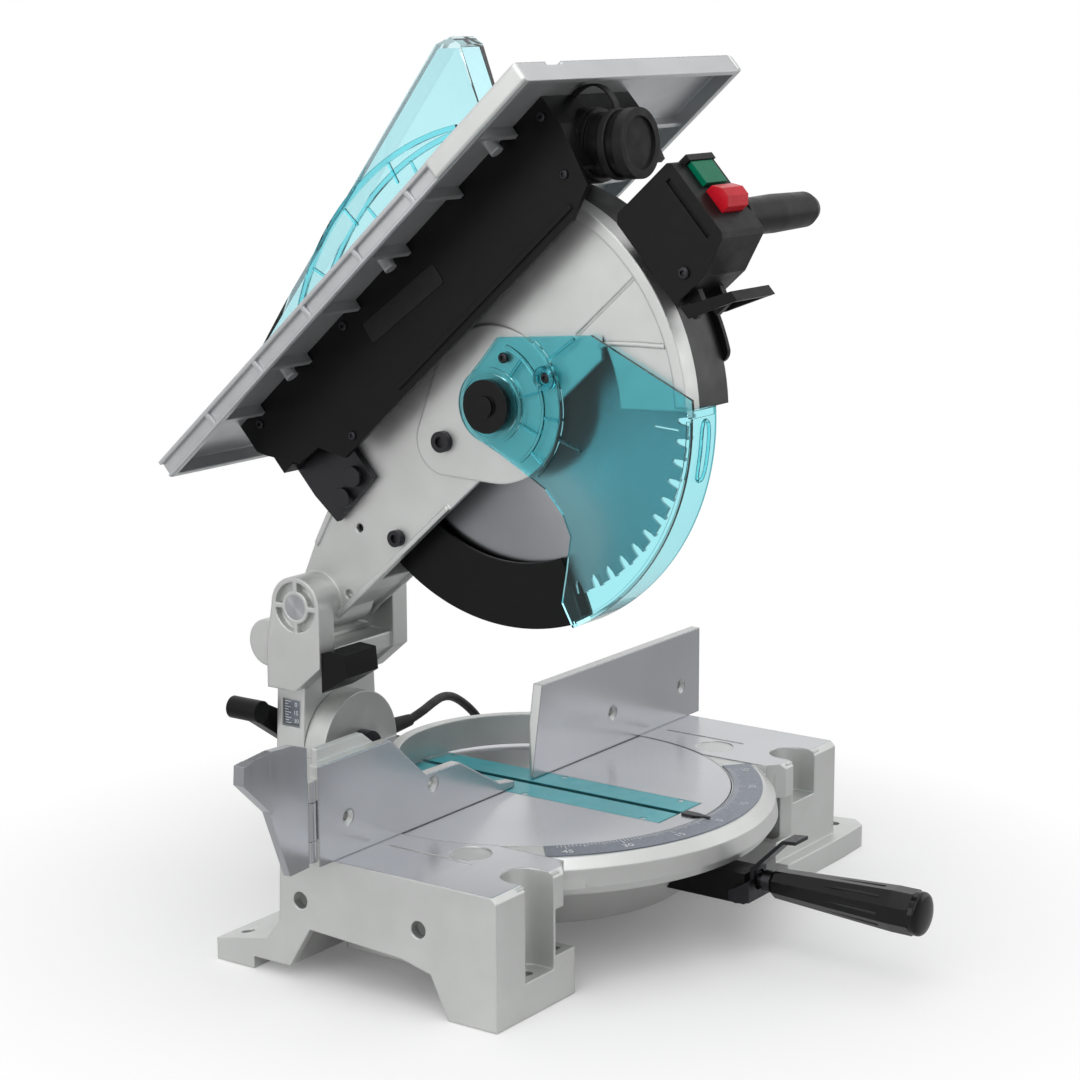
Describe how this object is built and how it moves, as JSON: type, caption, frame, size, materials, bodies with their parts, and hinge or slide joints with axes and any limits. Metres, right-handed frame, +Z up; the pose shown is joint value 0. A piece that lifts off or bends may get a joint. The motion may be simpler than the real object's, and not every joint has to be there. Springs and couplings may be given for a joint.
{
  "type": "table-top mitre saw",
  "caption": "Mitre saw with a raised tilting head, circular blade under clear guards, a saw table above the head, turntable, fence and lock grip.",
  "frame": {"origin": "on the bench plane under the turntable's turning axis", "axes": "+X to the operator's right, +Y to the rear, +Z up; the fence's face lies on Y = 0"},
  "size_m": [0.735, 0.6021, 0.6546],
  "materials": {
    "casting": "satin paint",
    "machined": "machined",
    "scale": "matte",
    "steel": "ground",
    "dark_steel": "blackened",
    "black": "fine grain",
    "gloss_black": "gloss",
    "teal": "gloss",
    "clear_teal": "clear",
    "rubber": "matte",
    "green": "gloss",
    "red": "gloss",
    "copper": "varnished"
  },
  "bodies": {
    "base": {"base_casting": "casting", "mitre_scale": "scale", "guide_fence": "machined", "fence_bolts": "dark_steel", "mitre_pivot_bolt": "dark_steel"},
    "leaf": {"fence_leaf": "machined"},
    "turntable": {"turntable": "machined", "kerf_board_left": "teal", "kerf_board_right": "teal", "kerf_screws": "steel", "mitre_pointer": "dark_steel", "grip_bracket": "black", "bevel_bolt": "dark_steel", "cord_gland": "rubber", "cord_run": "rubber", "cord_coil": "rubber", "plug": "rubber"},
    "grip": {"grip_rod": "dark_steel", "grip": "gloss_black"},
    "lock_lever": {"lock_lever": "dark_steel"},
    "bevel_arm": {"bevel_arm": "casting", "pivot_pin": "steel", "return_spring": "steel", "bump_stop": "black"},
    "bevel_lever": {"bevel_lever": "black"},
    "stop_pin": {"stop_pin": "black"},
    "head": {"blade_case": "casting", "case_skirt": "black", "centre_cover": "casting", "case_bolts": "dark_steel", "guard_hub_cap": "gloss_black", "gear_housing": "casting", "motor_housing": "teal", "motor_end_cap": "black", "brush_caps": "black", "stator": "dark_steel", "bearings": "steel", "switch_box": "black", "handle": "black", "riving_knife": "steel", "table_bracket": "dark_steel"},
    "lower_guard": {"lower_guard": "clear_teal"},
    "rear_guard": {"rear_guard": "black"},
    "blade": {"saw_blade": "steel", "blade_flanges": "steel", "arbor_bolt": "dark_steel", "spindle": "steel"},
    "rotor": {"armature": "copper"},
    "saw_table": {"saw_table": "machined", "table_insert": "black", "table_cover": "black", "dust_nozzle": "black", "nozzle_cap": "rubber"},
    "upper_guard": {"upper_guard": "clear_teal"},
    "start_button": {"start_button": "green"},
    "stop_button": {"stop_button": "red"},
    "release_lever": {"release_lever": "black"},
    "shaft_lock": {"shaft_lock": "black"}
  },
  "joints": [
    {"name": "mitre_turn", "type": "hinge", "parent": "base", "child": "turntable", "pos_m": [0, 0, 0.095], "axis": [0, 0, 1], "range_deg": [-45, 45]},
    {"name": "leaf_swing", "type": "hinge", "parent": "base", "child": "leaf", "pos_m": [-0.2524, 0.004, 0.12], "axis": [0, 0, -1], "range_deg": [0, 90]},
    {"name": "grip_twist", "type": "hinge", "parent": "turntable", "child": "grip", "pos_m": [0, -0.2, 0.057], "axis": [0, 1, 0], "range_deg": [0, 90]},
    {"name": "lock_press", "type": "hinge", "parent": "turntable", "child": "lock_lever", "pos_m": [0, -0.193, 0.046], "axis": [1, 0, 0], "range_deg": [0, 8], "stiffness_Nm_per_rad": 1, "springref_deg": -5.73},
    {"name": "bevel_tilt", "type": "hinge", "parent": "turntable", "child": "bevel_arm", "pos_m": [0, 0.1845, 0.095], "axis": [0, -1, 0], "range_deg": [0, 45]},
    {"name": "bevel_lever_turn", "type": "hinge", "parent": "bevel_arm", "child": "bevel_lever", "pos_m": [0, 0.225, 0.095], "axis": [0, -1, 0], "range_deg": [0, 50]},
    {"name": "stop_pin_slide", "type": "slide", "parent": "bevel_arm", "child": "stop_pin", "axis": [-1, 0, 0], "range_m": [0, 0.008]},
    {"name": "head_swing", "type": "hinge", "parent": "bevel_arm", "child": "head", "pos_m": [0, 0.183, 0.218], "axis": [1, 0, 0], "range_deg": [0, 42], "stiffness_Nm_per_rad": 14, "springref_deg": -137.51},
    {"name": "lower_guard_swing", "type": "hinge", "parent": "head", "child": "lower_guard", "pos_m": [0, 0.00799, 0.38903], "axis": [-1, 0, 0], "range_deg": [0, 72.1]},
    {"name": "rear_guard_swing", "type": "hinge", "parent": "head", "child": "rear_guard", "pos_m": [0, 0.00799, 0.38903], "axis": [1, 0, 0], "range_deg": [0, 26.1]},
    {"name": "blade_spin", "type": "hinge", "parent": "head", "child": "blade", "pos_m": [0, 0.00799, 0.38903], "axis": [1, 0, 0], "continuous": true},
    {"name": "rotor_spin", "type": "hinge", "parent": "head", "child": "rotor", "pos_m": [0.06, -0.0137, 0.42472], "axis": [1, 0, 0], "continuous": true},
    {"name": "table_lift", "type": "slide", "parent": "head", "child": "saw_table", "axis": [0, 0.6691, 0.7431], "range_m": [0, 0.024]},
    {"name": "upper_guard_lift", "type": "hinge", "parent": "head", "child": "upper_guard", "pos_m": [0, 0.22266, 0.42719], "axis": [-1, 0, 0], "range_deg": [0, 14]},
    {"name": "start_press", "type": "slide", "parent": "head", "child": "start_button", "axis": [0, 0.7431, -0.6691], "range_m": [0, 0.004], "stiffness_N_per_m": 600, "springref_m": -0.002},
    {"name": "stop_press", "type": "slide", "parent": "head", "child": "stop_button", "axis": [0, 0.7431, -0.6691], "range_m": [0, 0.005], "stiffness_N_per_m": 600, "springref_m": -0.002},
    {"name": "release_squeeze", "type": "hinge", "parent": "head", "child": "release_lever", "pos_m": [0, -0.16919, 0.47321], "axis": [-1, 0, 0], "range_deg": [0, 12], "stiffness_Nm_per_rad": 1, "springref_deg": -11.46},
    {"name": "shaft_lock_press", "type": "slide", "parent": "head", "child": "shaft_lock", "axis": [0, -0.6691, -0.7431], "range_m": [0, 0.004], "stiffness_N_per_m": 600, "springref_m": -0.003}
  ],
  "couplings": [
    {"joint": "lower_guard_swing", "follows": "head_swing", "ratio": 1.7143},
    {"joint": "rear_guard_swing", "follows": "head_swing", "ratio": 0.61905},
    {"joint": "rotor_spin", "follows": "blade_spin", "ratio": -4.0937}
  ]
}
